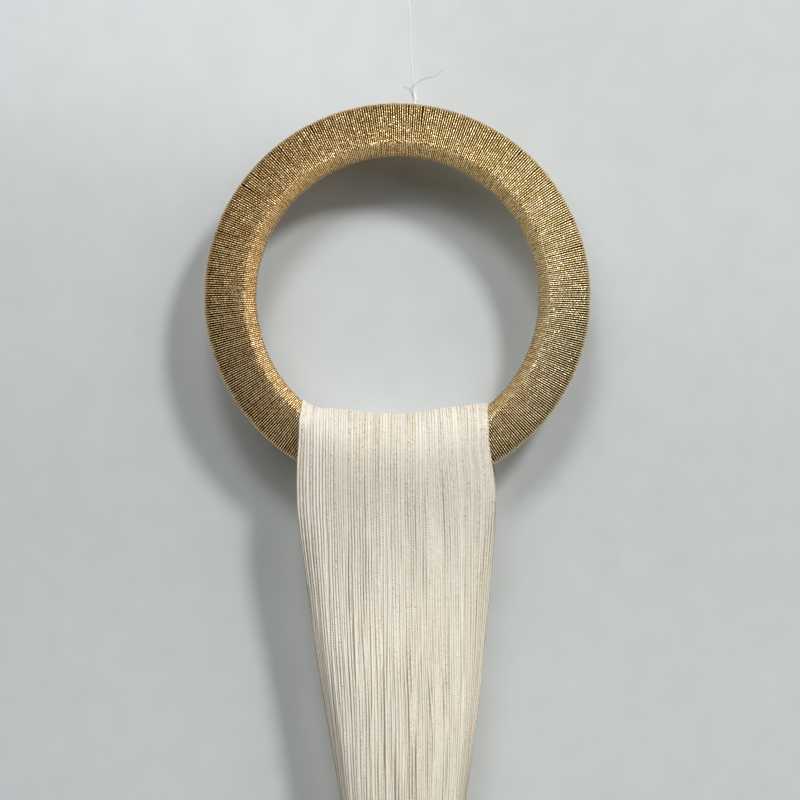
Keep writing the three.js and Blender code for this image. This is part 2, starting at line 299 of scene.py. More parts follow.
# Changes are given by the two places between which they run and the value at each. These are over a
# strand's crest, for the painted shade along its sides, and then by height down the hank: how deep that
# painted shade is, painted light that brightens the lower hank and the tail, and where the upper hank gets
# its painted shade tint.
STRAND_SIDE_SHADE = (0.40, 0.95, 1.0, 0.0)
GROOVE_SHADE = (-310.0, -225.0, -1.10, -0.50)
TAIL_SHADE = (-530.0, -490.0, 0.55, 0.0)
HANK_PAINTED_LIGHT = (-340.0, -235.0, 0.17, 0.03)
TAIL_PAINTED_LIGHT = (-530.0, -490.0, 0.08, 0.0)
UPPER_HANK = (-360.0, -240.0, 0.0, 1.0)

# Looks of the gold cord: the beads of its twist, and what each cause adds to the brightness. The beads'
# light and shade and the glints are painted highlights, and the ramp runs from painted groove shade to
# painted highlights.
CORD_BEAD = 1.5
BEAD_SLANT = 0.7
BEAD_DRIFT = 2.5
DRIFT_ALONG = 0.16
HUE_ALONG = 0.05
HUE_CUT = 5.0
HUE_GAIN = 2.0
GOLD_SHARES = {"glint": 0.20, "bead": 0.16, "lower_painted_contrast": 0.06, "hue": 0.16, "rim": 0.20}
GOLD_STOPS = [
    (0.05, (0.012, 0.005, 0.002)),
    (0.30, (0.165, 0.080, 0.019)),
    (0.54, (0.520, 0.325, 0.100)),
    (0.74, (0.905, 0.680, 0.305)),
    (0.92, (1.0, 0.940, 0.780)),
]
# Painted light and shade across the ring: redder on the left, paler on the right
LEFT_SHADE_TINT = (1.0, 0.93, 0.90)
RIGHT_LIGHT_TINT = (0.97, 1.0, 1.0)
# Where the painted shade of the grooves begins and ends across a turn's crest, and the cord's metal and
# gloss, which the grooves lose
GROOVE_EDGE = 0.80
GROOVE_WIDER = 0.10
GROOVE_END = 0.99
CORD_METAL = 0.75
CORD_SPECULAR = 0.5
CORD_SMOOTHNESS = 0.58
GLINT_SMOOTHNESS = 0.12
GLINT_HEIGHT = 0.6
FACET_TILT = 0.28
OUTWARD_TILT = 0.17
FORWARD_TILT = 0.9
# Changes by distance from the ring's axis, then by height and by x from it: painted light on the bevel and
# the rim, stronger painted shade and highlights in the lower half, and painted light towards the right
BEVEL_PAINTED_LIGHT = (RING_INNER + BEVEL_WIDTH - 0.5, RING_INNER + BEVEL_WIDTH + 0.6, 0.40, 0.0)
RIM_PAINTED_LIGHT = (RING_OUTER - 2.0, RING_OUTER + 0.2, 0.0, 0.62)
LOWER_HALF = (-30.0, 30.0, 1.0, 0.0)
LEVEL_WITH_RIGHT_PAINTED_LIGHT = (40.0, 98.0, 0.49, 0.58)
LEFT_TO_RIGHT = (-100.0, 100.0, 0.0, 1.0)

# Stage
FLOOR_Z = -0.95
FLOOR_HALF = 6.0
WALL_Y = 0.029
WALL_HALF = 0.46
# Colours between which a plain surface drifts, and the noise values at which it has them
GRAIN_STOPS = (0.3, 0.7)
UNDER_COLOURS = ((0.004, 0.002, 0.001), (0.022, 0.012, 0.004))
WALL_COLOURS = ((0.560, 0.590, 0.598), (0.582, 0.613, 0.621))
FLOOR_COLOURS = ((0.34, 0.35, 0.35), (0.36, 0.37, 0.37))
FLOOR_GLOW = (0.50, 0.52, 0.525, 1)
# Changes over the backdrop: outwards from its middle, by height, and in its upper left corner. The last
# two are painted light, lighter towards the bottom and in the upper left.
WALL_FADE = (225.0, 450.0, 0.0, 1.0)
WALL_PAINTED_LIGHT = (-440.0, -250.0, 1.09, 0.97)
WALL_LEFT_PAINTED_LIGHT = (-60.0, 80.0, 0.11, -0.02)
WALL_UPPER = (-130.0, -30.0, 0.0, 1.0)

# Round lamps: place, diameter, power and colour
LAMP_AIM = (-0.005, 0, -0.25)
LAMPS = {
    "key": ((0.70, -1.15, 0.80), 0.28, 18.0, (1.0, 0.995, 0.98)),
    "overhead": ((-0.13, -1.15, 0.80), 0.42, 9.0, (1.0, 1.0, 1.0)),
    "left": ((-0.58, -1.15, 0.62), 0.65, 4.7, (0.99, 0.995, 1.0)),
    "right": ((1.0, -0.9, 0.3), 1.0, 5.2, (1.0, 0.995, 0.98)),
    "front": ((0.0, -1.7, -0.1), 1.5, 0.6, (1.0, 1.0, 1.0)),
    "back_fill": ((0.3, 1.7, 0.1), 1.2, 25.0, (1.0, 1.0, 1.0)),
}
# The room, as the camera sees it, as it lights and as shiny pieces mirror it
ROOM_SEEN = (0.60, 0.62, 0.625, 1)
ROOM_LIGHT = (0.84, 0.85, 0.86, 1)
ROOM_POWER = 0.08
ROOM_MIRRORED = (0.86, 0.86, 0.84, 1)


# Materials

class Shader:
    """The node tree of a material or of the world, built a node at a time."""

    def __init__(self, block):
        self.block = block
        self.block.use_nodes = True
        self.tree = self.block.node_tree
        self.tree.nodes.clear()

    def node(self, kind, inputs=None, output=0, **settings):
        made = self.tree.nodes.new(kind)
        for key, value in settings.items():
            setattr(made, key, value)
        for key, value in (inputs or {}).items():
            if isinstance(value, bpy.types.NodeSocket):
                self.tree.links.new(value, made.inputs[key])
            else:
                made.inputs[key].default_value = value
        return made.outputs[output]

    def finish(self, surface, kind="ShaderNodeOutputMaterial"):
        out = self.tree.nodes.new(kind)
        self.tree.links.new(surface, out.inputs[0])
        return self.block

    def math(self, operation, a, b=0.0, c=0.0):
        return self.node("ShaderNodeMath", {0: a, 1: b, 2: c}, operation=operation)

    def add(self, base, value, share):
        """base plus a share of value."""
        return self.math("MULTIPLY_ADD", value, share, base)

    def total(self, base, parts, shares):
        """base plus each part times its share."""
        for name, value in parts.items():
            base = self.add(base, value, shares[name])
        return base

    def spread(self, value, gain):
        """A noise value spread out round its middle of 0.5."""
        return self.add(0.5, self.math("SUBTRACT", value, 0.5), gain)

    def between(self, value, low, high, start, end):
        """A smooth change from start, at value low, to end, at value high."""
        return self.node(
            "ShaderNodeMapRange",
            {"Value": value, "From Min": low, "From Max": high, "To Min": start, "To Max": end},
            interpolation_type="SMOOTHSTEP",
        )

    def change(self, value, low, high, start, end):
        """The same for a length in metres, with low and high in millimetres."""
        return self.between(value, low * MM, high * MM, start, end)

    def vector(self, x, y, z):
        return self.node("ShaderNodeCombineXYZ", {0: x, 1: y, 2: z})

    def split(self, vector):
        return tuple(self.node("ShaderNodeSeparateXYZ", {0: vector}).node.outputs)

    def combine(self, operation, a, b=(0, 0, 0)):
        return self.node("ShaderNodeVectorMath", {0: a, 1: b}, operation=operation)

    def scale(self, vector, factor):
        return self.node("ShaderNodeVectorMath", {0: vector, "Scale": factor}, operation="SCALE")

    def place(self):
        """Where the shaded point lies in the row frame, in metres."""
        return self.node("ShaderNodeTexCoord", output="Object")

    def lay(self):
        """Along the strand in millimetres, and the strand's number plus how far round it."""
        along, around, _ = self.split(self.node("ShaderNodeUVMap", uv_map="lay"))
        return along, around

    def noise(self, vector, scale=1.0, detail=2.0, roughness=0.5):
        return self.node(
            "ShaderNodeTexNoise",
            {"Vector": vector, "Scale": scale, "Detail": detail, "Roughness": roughness},
        )

    def draw(self, number):
        """A value and a colour drawn by lot for a whole number."""
        drawn = self.node("ShaderNodeTexWhiteNoise", {"W": number}, noise_dimensions="1D").node
        return drawn.outputs["Value"], drawn.outputs["Color"]

    def ramp(self, value, stops):
        made = self.tree.nodes.new("ShaderNodeValToRGB")
        self.tree.links.new(value, made.inputs[0])
        elements = made.color_ramp.elements
        while len(elements) < len(stops):
            elements.new(0.5)
        for element, (place, colour) in zip(elements, stops):
            element.position = place
            element.color = (*colour, 1)
        return made.outputs[0]


def new_shader(name):
    return Shader(bpy.data.materials.new(name))


def twist(s, along, around, lay, plies):
    """The slanting ridges of a twisted cord, 0 in the grooves and 1 on the plies."""
    turn = s.add(around, along, 1 / lay)
    wave = s.math("SINE", s.math("MULTIPLY", turn, math.pi * plies))
    return turn, s.math("ABSOLUTE", wave)


def crest(s, around):
    """1 along the outer side of a strand, falling to 0 at its two sides."""
    return s.math("ABSOLUTE", s.math("SINE", s.math("MULTIPLY", around, TAU)))


def yarn_material(name, lay, plies, colours):
    """Twisted yarn with its plies and fibres, each strand a little lighter or darker, with painted shade
    in the grooves and along the strands' sides and painted light down the hank.
    """
    s = new_shader(name)
    along, around = s.lay()
    strand = s.math("FLOOR", around)
    turn, ply = twist(s, along, around, lay, plies)
    tone, _ = s.draw(strand)
    fibre_at = s.vector(
        s.math("MULTIPLY", along, FIBRE_ALONG),
        s.math("MULTIPLY", turn, FIBRE_AROUND),
        s.math("MULTIPLY", strand, FIBRE_APART),
    )
    fibre = s.noise(fibre_at, detail=3.0, roughness=0.65)
    patch_at = s.vector(
        s.math("MULTIPLY", along, PATCH_ALONG),
        s.math("MULTIPLY", strand, PATCH_APART),
        PATCH_CUT,
    )
    patch = s.noise(patch_at)
    # The plies' ridges also go into the colour: painted shade in the grooves between the plies
    parts = {
        "tone": tone,
        "ply": ply,
        "fibre": s.spread(fibre, FIBRE_GAIN),
        "patch": s.spread(patch, PATCH_GAIN),
    }
    level = s.total(YARN_BASE, parts, YARN_SHARES)
    # Painted shade along each strand's sides, deeper down the hank and less deep on the tail, and painted
    # light that brightens the strands down the hank and on the tail
    _, _, height = s.split(s.place())
    groove_shade_mask = s.between(crest(s, around), *STRAND_SIDE_SHADE)
    shade = s.math("ADD", s.change(height, *GROOVE_SHADE), s.change(height, *TAIL_SHADE))
    level = s.math("MULTIPLY", level, s.add(1.0, groove_shade_mask, shade))
    level = s.math("ADD", level, s.change(height, *HANK_PAINTED_LIGHT))
    level = s.math("ADD", level, s.change(height, *TAIL_PAINTED_LIGHT))
    colour = s.ramp(level, [(stop, colours[key]) for key, stop in YARN_STOPS.items()])
    # Painted shade tint on the upper hank
    painted_light_tint = s.ramp(s.change(height, *UPPER_HANK), [(0.0, (1.0, 1.0, 1.0)), (1.0, UPPER_SHADE_TINT)])
    bump = s.node(
        "ShaderNodeBump",
        {"Height": s.add(ply, fibre, FIBRE_HEIGHT), "Strength": 0.7, "Distance": 0.0003},
    )
    surface = s.node(
        "ShaderNodeBsdfPrincipled",
        {
            "Base Color": s.combine("MULTIPLY", colour, painted_light_tint),
            "Roughness": s.add(YARN_ROUGHNESS, fibre, FIBRE_ROUGHNESS),
            "Normal": bump,
            "Specular IOR Level": 0.2,
            "Sheen Weight": 0.12,
            "Sheen Roughness": 0.5,
        },
    )
    return s.finish(surface)


def gold_material():
    """Metallic cord: painted glints and highlights on beads along each turn, and painted shade in dull
    dark grooves between the turns.
    """
    s = new_shader("gold_cord")
    along, around = s.lay()
    drift = s.noise(s.vector(s.math("MULTIPLY", along, DRIFT_ALONG), 0.0, 0.0), detail=1.0)
    beads = s.add(s.math("MULTIPLY", around, BEAD_SLANT), along, 1 / CORD_BEAD)
    beads = s.add(beads, drift, BEAD_DRIFT)
    # The beads' light and shade and the glint drawn for each bead are painted highlights in the colour,
    # and also shape the bump
    bead = s.math("COSINE", s.math("MULTIPLY", beads, TAU))
    glint, facet = s.draw(s.math("FLOOR", beads))
    hue = s.noise(s.vector(s.math("MULTIPLY", along, HUE_ALONG), HUE_CUT, 0.0))
    x, _, z = s.split(s.place())
    side = s.math("SUBTRACT", x, RING_X * MM)
    rise = s.math("SUBTRACT", z, RING_Z * MM)
    squares = s.math("ADD", s.math("MULTIPLY", side, side), s.math("MULTIPLY", rise, rise))
    radius = s.math("SQRT", squares)

    # Painted shade in deep grooves along the sides of each turn on the faces. The bevel and the rim are
    # painted lighter, with the painted grooves narrowing there, and in the lower half the painted grooves
    # are wider.
    bevel = s.change(radius, *BEVEL_PAINTED_LIGHT)
    rim = s.change(radius, *RIM_PAINTED_LIGHT)
    lower_painted_contrast = s.change(rise, *LOWER_HALF)
    edge = s.add(GROOVE_EDGE, lower_painted_contrast, GROOVE_WIDER)
    top = s.between(crest(s, around), edge, GROOVE_END, 0.0, 1.0)
    top = s.add(top, s.math("SUBTRACT", 1.0, top), s.math("ADD", bevel, rim))

    # Painted light and shade: the winding is painted paler and brighter on the right and redder on the
    # left
    parts = {"glint": glint, "bead": bead, "lower_painted_contrast": lower_painted_contrast, "hue": s.spread(hue, HUE_GAIN), "rim": rim}
    level = s.total(0.0, parts, GOLD_SHARES)
    level = s.math("ADD", level, s.change(side, *LEVEL_WITH_RIGHT_PAINTED_LIGHT))
    colour = s.ramp(s.math("MULTIPLY", level, top), GOLD_STOPS)
    painted_light_tint = s.ramp(s.change(side, *LEFT_TO_RIGHT), [(0.0, LEFT_SHADE_TINT), (1.0, RIGHT_LIGHT_TINT)])

    # On the faces the light is caught a little further out, on the bevel a little further forward
    bump = s.node(
        "ShaderNodeBump",
        {"Height": s.add(bead, glint, GLINT_HEIGHT), "Strength": 0.7, "Distance": 0.00016},
    )
    facet = s.scale(s.combine("SUBTRACT", facet, (0.5, 0.5, 0.5)), FACET_TILT)
    outward = s.scale(s.vector(side, 0.0, rise), OUTWARD_TILT / (RING_OUTER * MM))
    forward = s.scale((0, -1, 0), s.math("MULTIPLY", bevel, FORWARD_TILT))
    normal = bump
    for tilt in (facet, outward, forward):
        normal = s.combine("ADD", normal, tilt)

    # The painted groove shade is also dull, without metal or gloss, so it stays dark seen at a slant
    smoothness = s.math("MULTIPLY", top, s.add(CORD_SMOOTHNESS, glint, GLINT_SMOOTHNESS))
    surface = s.node(
        "ShaderNodeBsdfPrincipled",
        {
            "Base Color": s.combine("MULTIPLY", colour, painted_light_tint),
            "Metallic": s.math("MULTIPLY", top, CORD_METAL),
            "Roughness": s.math("SUBTRACT", 1.0, smoothness),
            "Specular IOR Level": s.math("MULTIPLY", top, CORD_SPECULAR),
            "Normal": s.combine("NORMALIZE", normal),
        },
    )
    return s.finish(surface)


def drifting(s, grain, colours):
    """A colour that drifts between two with a noise value."""
    return s.ramp(grain, list(zip(GRAIN_STOPS, colours)))


def gold_under_material():
    """What shows between the turns: the winding's own deep shade."""
    s = new_shader("gold_under")
    grain = s.noise(s.place(), scale=900.0)
    bump = s.node("ShaderNodeBump", {"Height": grain, "Strength": 0.4, "Distance": 0.0002})
    surface = s.node(
        "ShaderNodeBsdfPrincipled",
        {
            "Base Color": drifting(s, grain, UNDER_COLOURS),
            "Roughness": 0.8,
            "Specular IOR Level": 0.1,
            "Normal": bump,
        },
    )
    return s.finish(surface)


def wall_material():
    """A plain pale backdrop, seen only from the front and fading out at its edges."""
    s = new_shader("backdrop")
    place = s.place()
    x, _, z = s.split(place)
    out_x = s.math("ABSOLUTE", s.math("SUBTRACT", x, VIEW_CENTRE[0]))
    out_z = s.math("ABSOLUTE", s.math("SUBTRACT", z, VIEW_CENTRE[1]))
    fade = s.change(s.math("MAXIMUM", out_x, out_z), *WALL_FADE)
    # Painted light: lighter towards the bottom and in the upper left corner
    painted_corner_light = s.math("MULTIPLY", s.change(x, *WALL_LEFT_PAINTED_LIGHT), s.change(z, *WALL_UPPER))
    level = s.math("ADD", s.change(z, *WALL_PAINTED_LIGHT), painted_corner_light)
    colour = drifting(s, s.noise(place, scale=60.0, detail=3.0), WALL_COLOURS)
    face = s.node("ShaderNodeBsdfDiffuse", {"Color": s.scale(colour, level), "Roughness": 0.5})
    clear = s.node("ShaderNodeBsdfTransparent")
    hidden = s.math("MAXIMUM", fade, s.node("ShaderNodeNewGeometry", output="Backfacing"))
    return s.finish(s.node("ShaderNodeMixShader", {0: hidden, 1: face, 2: clear}))


def floor_material():
    """A plain pale floor with a glow of its own, so that it stays pale away from the lamps."""
    s = new_shader("floor")
    colour = drifting(s, s.noise(s.place(), scale=8.0), FLOOR_COLOURS)
    face = s.node("ShaderNodeBsdfDiffuse", {"Color": colour, "Roughness": 0.5})
    glow = s.node("ShaderNodeEmission", {"Color": FLOOR_GLOW, "Strength": 1.0})
    return s.finish(s.node("ShaderNodeAddShader", {0: face, 1: glow}))


# Curves and meshes

def smooth(table_x, table_y, x):
    """A smooth line through a table's points."""
    xs = np.asarray(table_x, float)
    ys = np.asarray(table_y, float)
    slope = np.gradient(ys, xs)
    x = np.clip(x, xs[0], xs[-1])
    i = np.clip(np.searchsorted(xs, x) - 1, 0, len(xs) - 2)
    h = xs[i + 1] - xs[i]
    t = (x - xs[i]) / h
    ends = (1 + 2 * t) * (1 - t) ** 2 * ys[i] + t * t * (3 - 2 * t) * ys[i + 1]
    return ends + h * (t * (1 - t) ** 2 * slope[i] + t * t * (t - 1) * slope[i + 1])


def step_up(x):
    """0 up to 0, 1 from 1 on, and a smooth rise between."""
    x = np.clip(x, 0, 1)
    return x * x * (3 - 2 * x)


def waves(rng, count, at, size, lengths):
    """Slow seeded waves along count strands."""
    total = np.zeros((count, np.shape(at)[-1]))
    for length in lengths:
        phase = rng.uniform(0, TAU, (count, 1))
        height = rng.normal(0, size / math.sqrt(len(lengths)), (count, 1))
        total += height * np.sin(TAU * at / length + phase)
    return total


def spline(points, count):
    """count points on a smooth line through a route."""
    points = np.asarray(points, float)
    steps = np.linalg.norm(np.diff(points, axis=0), axis=1)
    at = np.concatenate([[0], np.cumsum(steps)])
    places = np.linspace(0, at[-1], count)
    return np.stack([smooth(at, points[:, axis], places) for axis in range(3)], axis=1)


def corner_uv(low, high, near, far):
    """The UVs of faces from low to high along and from near to far across."""
    return np.stack([
        np.stack([low, near], -1), np.stack([low, far], -1),
        np.stack([high, far], -1), np.stack([high, near], -1),
    ], axis=-2)


def add_mesh(name, points, faces, lay, bake, material, caps):
    """A mesh of four-cornered faces with its two UV maps, closed by caps."""
    mesh = bpy.data.meshes.new(name)
    mesh.vertices.add(len(points))
    mesh.vertices.foreach_set("co", (points * MM).astype(np.float32).ravel())
    corners = [faces.ravel()] + [np.asarray(cap) for cap in caps]
    sizes = np.concatenate([np.full(len(faces), 4), [len(cap) for cap in caps]]).astype(np.int32)
    starts = np.concatenate([[0], np.cumsum(sizes)[:-1]]).astype(np.int32)
    mesh.loops.add(int(sizes.sum()))
    mesh.loops.foreach_set("vertex_index", np.concatenate(corners).astype(np.int32))
    mesh.polygons.add(len(sizes))
    mesh.polygons.foreach_set("loop_start", starts)
    mesh.polygons.foreach_set("use_smooth", np.ones(len(sizes), bool))
    # The caps' corners share the last face's last place in the maps
    cap_corners = int(sizes.sum()) - faces.size
    for title, uv in (("lay", lay), ("OFBake", bake)):
        flat = uv.reshape(-1, 2)
        flat = np.concatenate([flat, np.tile(flat[-1:], (cap_corners, 1))])
        layer = mesh.uv_layers.new(name=title)
        layer.data.foreach_set("uv", flat.astype(np.float32).ravel())
    mesh.update(calc_edges=True)
    mesh.materials.append(material)
    made = bpy.data.objects.new(name, mesh)
    bpy.context.scene.collection.objects.link(made)
    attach(made, "root")
    return made


def tubes(name, lines, radius, reference, sides, material, strip=None, lobes=None, phase=None):
    """Closed tubes round lines (strand, station, xyz). reference is a direction across each line,
    strip the number of stations in a row of the baking map, lobes (lay, depth) for the two lobes
    of a twisted cord, and phase where each strand's lay starts."""
    lines = np.asarray(lines, float)
    count, stations, _ = lines.shape
    radius = np.broadcast_to(np.asarray(radius, float), (count, stations))
    tangent = np.gradient(lines, axis=1)
    tangent /= np.linalg.norm(tangent, axis=2, keepdims=True)
    reference = np.broadcast_to(np.asarray(reference, float), lines.shape)
    first = reference - (reference * tangent).sum(2, keepdims=True) * tangent
    first /= np.linalg.norm(first, axis=2, keepdims=True)
    second = np.cross(tangent, first)
    steps = np.linalg.norm(np.diff(lines, axis=1), axis=2)
    along = np.concatenate([np.zeros((count, 1)), np.cumsum(steps, axis=1)], axis=1)
    if phase is not None:
        along = along + phase[:, None]
    angle = np.arange(sides) * TAU / sides
    size = np.repeat(radius[..., None], sides, axis=2)
    if lobes:
        lay, depth = lobes
        size = size * (1 - depth + depth * np.abs(np.cos(angle - TAU * along[..., None] / lay / 2)))
    shape = size[..., None] * (
        np.cos(angle)[:, None] * first[:, :, None] + np.sin(angle)[:, None] * second[:, :, None]
    )
    points = (lines[:, :, None] + shape).reshape(-1, 3)

    strand, station, side = np.meshgrid(
        np.arange(count), np.arange(stations - 1), np.arange(sides), indexing="ij"
    )
    base = (strand * stations + station) * sides
    after = (side + 1) % sides
    faces = np.stack([base + side, base + after, base + sides + after, base + sides + side], axis=-1)
    lay_uv = corner_uv(
        along[strand, station], along[strand, station + 1],
        strand + side / sides, strand + (side + 1) / sides,
    )

    strip = strip or stations - 1
    segment = strand * (stations - 1) + station
    rows = math.ceil(count * (stations - 1) / strip)
    row = segment // strip + BAKE_MARGIN
    width = 1 - 2 * BAKE_MARGIN
    left = (segment % strip) / strip
    bake = corner_uv(
        left, left + 1 / strip,
        (row + width * side / sides) / rows, (row + width * (side + 1) / sides) / rows,
    )

    starts = np.arange(count) * stations * sides
    ends = starts + (stations - 1) * sides
    caps = [list(range(a + sides - 1, a - 1, -1)) for a in starts]
    caps += [list(range(a, a + sides)) for a in ends]
    return add_mesh(name, points, faces.reshape(-1, 4), lay_uv, bake, material, caps)


# Camera

camera = bpy.data.objects.new("camera", bpy.data.cameras.new("camera"))
bpy.context.scene.collection.objects.link(camera)
camera.location = (VIEW_CENTRE[0], -CAMERA_DISTANCE, VIEW_CENTRE[1])
camera.rotation_euler = (math.pi / 2, 0, 0)
camera.data.sensor_width = SENSOR
camera.data.lens = SENSOR * CAMERA_DISTANCE / VIEW_WIDTH
camera.data.clip_start = CLIP_START
camera.data.clip_end = CLIP_END
bpy.context.scene.camera = camera


# Thread, its knots, its hook loop and its loose ends

white_thread = yarn_material("white_thread", THREAD_LAY, THREAD_PLIES, WHITE)
grey_thread = yarn_material("grey_thread", THREAD_LAY, THREAD_PLIES, GREY)


def thread(name, route, count, diameter, material, lobes, taper=1.0):
    line = spline(route, count)
    size = diameter / 2 * np.linspace(1, taper, count)
    made = tubes(
        name, line[None], size[None], (0, 1, 0), THREAD_SIDES, material, lobes=lobes
    )
    return made, line


def knot(name, centre, foot, low, rise, lean):
    """Turns of the thread drawn tight over rise, closing in toward the top, and the thread
    that goes straight down through them to the foot."""
    share = np.linspace(0, 1, KNOT_STATIONS)
    turns = share * (rise / KNOT_PITCH)
    size = KNOT_RADIUS - KNOT_NARROWING * share
    coil = np.stack([
        centre[0] + lean * share + size * np.cos(TAU * turns),
        centre[1] + size * np.sin(TAU * turns),
        centre[2] + low + rise * share,
    ], axis=1)
    top = np.array([centre[0] + lean, centre[1], centre[2] + low + rise])
    bottom = np.array([centre[0], centre[1], centre[2] - foot])
    stem = top * (1 - share[:, None]) + bottom * share[:, None]
    return tubes(
        name, np.stack([coil, stem]), KNOT_THREADS, (0.05, 1, 0.1), THREAD_SIDES,
        white_thread, lobes=KNOT_LOBES,
    )


taut_thread, taut_line = thread(
    "taut_thread", THREAD_ROUTE, THREAD_STATIONS, THREAD, white_thread, THREAD_LOBES
)
hook_thread, _ = thread("hook_thread", HOOK_ROUTE, HOOK_STATIONS, THREAD, white_thread, THREAD_LOBES)
ring_knot = knot("ring_knot", RING_KNOT, foot=3.5, low=-0.7, rise=5.4, lean=-0.75)
upper_knot = knot("upper_knot", LOOP_KNOT, foot=1.4, low=-0.85, rise=1.7, lean=0.0)
loose_ends = [
    thread(f"loose_end_{side}", route, END_STATIONS, THREAD_END, look, END_LOBES, END_TAPER)[0]
    for (side, route), look in zip(END_ROUTES.items(), (grey_thread, grey_thread, white_thread))
]
for piece in (taut_thread, hook_thread, ring_knot, upper_knot, *loose_ends):
    piece.visible_shadow = False
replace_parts(taut_thread, "hanging_thread")
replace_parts(hook_thread, "hook_loop")
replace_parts(ring_knot, "thread_knot")
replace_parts(upper_knot, "loop_knot")
for piece, node in zip(loose_ends, ("thread_end_left", "thread_end_right", "thread_end_up")):
    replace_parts(piece, node)


# Wound ring

def ring_outline():
    """The ring's section (radius, y), once round from the middle of its outer edge."""
    rim_half = RING_HALF - FACE_FALL
    half = [(RING_OUTER, 0.0), (RING_OUTER, rim_half - RIM_ROUND)]
    for step in range(1, RIM_STEPS + 1):
        turn = math.pi / 2 * step / RIM_STEPS
        half.append((
            RING_OUTER - RIM_ROUND + RIM_ROUND * math.cos(turn),
            rim_half - RIM_ROUND + RIM_ROUND * math.sin(turn),
        ))
    face = RING_INNER + BEVEL_WIDTH
    for share in FACE_SHARES:
        half.append((
            RING_OUTER - RIM_ROUND + (face - RING_OUTER + RIM_ROUND) * share,
            rim_half + FACE_FALL * share,
        ))
    half += [
        (face + BEND_ALONG, RING_HALF),
        (face - BEND_IN, RING_HALF - BEND_ALONG),
        (RING_INNER + BEND_IN, RING_HALF - BEVEL_DEPTH + BEND_ALONG),
        (RING_INNER, RING_HALF - BEVEL_DEPTH - BEND_DEEP),
        (RING_INNER, 0.0),
    ]
    front = [(radius, -y) for radius, y in reversed(half[1:-1])]
    return np.array(half + front)


OUTLINE = ring_outline()


def clear_ring(points, margin):
    """Pushes points in the ring's own frame out of its section, to margin from its surface."""
    edges = np.roll(OUTLINE, -1, axis=0) - OUTLINE
    normals = np.stack([edges[:, 1], -edges[:, 0]], axis=1)
    normals /= np.linalg.norm(normals, axis=1, keepdims=True)
    radius = np.hypot(points[..., 0], points[..., 2])
    flat = np.stack([radius, points[..., 1]], axis=-1)
    out = ((flat[..., None, :] - OUTLINE) * normals).sum(-1)
    need = np.clip(margin - out.max(-1), 0, None)
    push = normals[out.argmax(-1)] * need[..., None]
    moved = points.copy()
    grown = (radius + push[..., 0]) / radius
    moved[..., 0] *= grown
    moved[..., 2] *= grown
    moved[..., 1] += push[..., 1]
    return moved


def part_turns(angle, radius):
    """The turns' angles with the gaps of GAPS between them."""
    outer = np.clip((radius - (RING_OUTER - GAP_DEPTH)) / GAP_DEPTH, 0, 1)
    pitch = TAU / TURNS
    for x, y, width in GAPS:
        gap = math.atan2(RING_PIXEL[1] - y, x - RING_PIXEL[0]) % TAU
        away = (angle - gap + math.pi) % TAU - math.pi
        part = np.tanh(away / (GAP_MIDDLE * pitch)) * np.exp(-np.abs(away) / GAP_SPREAD)
        angle = angle + part * outer * width / 2 / RING_OUTER
    return angle


def wind_ring(gold):
    """One long coil of cord round the ring's section, cut into a few pieces."""
    rng = np.random.default_rng(SEED)
    steps = len(OUTLINE)
    closed = np.vstack([OUTLINE, OUTLINE[:1]])
    lengths = np.linalg.norm(np.diff(closed, axis=0), axis=1)
    share = np.concatenate([[0], np.cumsum(lengths)[:-1]]) / lengths.sum()
    turn = np.append((np.arange(TURNS)[:, None] + share).ravel(), TURNS)
    section = np.vstack([np.tile(OUTLINE, (TURNS, 1)), OUTLINE[:1]])
    radius, depth = section[:, 0], section[:, 1]
    knots = np.arange(TURN_KNOTS * TURNS + 1) / TURN_KNOTS
    loose = np.interp(turn, knots, rng.normal(0, TURN_JITTER, len(knots)))
    angle = part_turns(TAU * turn / TURNS + loose / radius, radius)
    # Turns crowd at the inner edge, so every other one rides a little higher there
    crowd = 1 - np.clip((radius - RING_INNER) / CROWD_WIDTH, 0, 1)
    ride = np.interp(turn, knots, np.abs(rng.normal(0, TURN_LIFT, len(knots))))
    ride = ride + crowd * CROWD_LIFT * (0.5 + 0.5 * np.cos(math.pi * np.floor(turn)))
    outward = np.tile(np.gradient(closed, axis=0)[:-1], (TURNS, 1))
    outward = np.vstack([outward, outward[:1]])
    outward = np.stack([outward[:, 1], -outward[:, 0]], axis=1)
    outward /= np.linalg.norm(outward, axis=1, keepdims=True)
    radius = radius + outward[:, 0] * ride
    depth = depth + outward[:, 1] * ride
    line = np.stack([RING_X + radius * np.cos(angle), depth, RING_Z + radius * np.sin(angle)], axis=1)
    reference = np.stack([-np.sin(angle), np.zeros_like(angle), np.cos(angle)], axis=1)
    bounds = np.linspace(0, TURNS, TURN_PIECES + 1).round().astype(int) * steps
    for part in range(TURN_PIECES):
        cut = slice(bounds[part], bounds[part + 1] + 1)
        tubes(
            f"ring_winding_{part + 1}", line[None, cut], TURN_CORD / 2, reference[None, cut],
            TURN_SIDES, gold, strip=steps,
        )


wind_ring(gold_material())
under = gold_under_material()
ring_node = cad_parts["wrapped_ring"]
ring_node.data.materials.clear()
ring_node.data.materials.append(under)


# Hank of yarn

def to_row(points):
    """From the ring's frame to the row frame."""
    return points + np.array([RING_X, 0, RING_Z])


def sheet(column, drop):
    return smooth(SHEET["drop"], SHEET[column], drop)


def plumb(depth_t):
    """The drop of a strand in the middle of the hank at a share of its way down."""
    return SPRING_RADIUS + (BOUND_DROP - SPRING_RADIUS) * depth_t


def flare(edge, inward, drop, side_at):
    """How far a strand stands out at an edge of the hank, inward by a share of its half width."""
    out = edge["out"] * step_up((drop - edge["from"]) / edge["rise"])
    out = out * step_up((edge["to"] - drop) / FLARE_FADE)
    even = (edge["front"] + edge["back"]) / 2
    uneven = (edge["front"] - edge["back"]) / 2
    return out * np.exp(-(inward / FLARE_SPAN) ** 2) * (even - uneven * side_at)


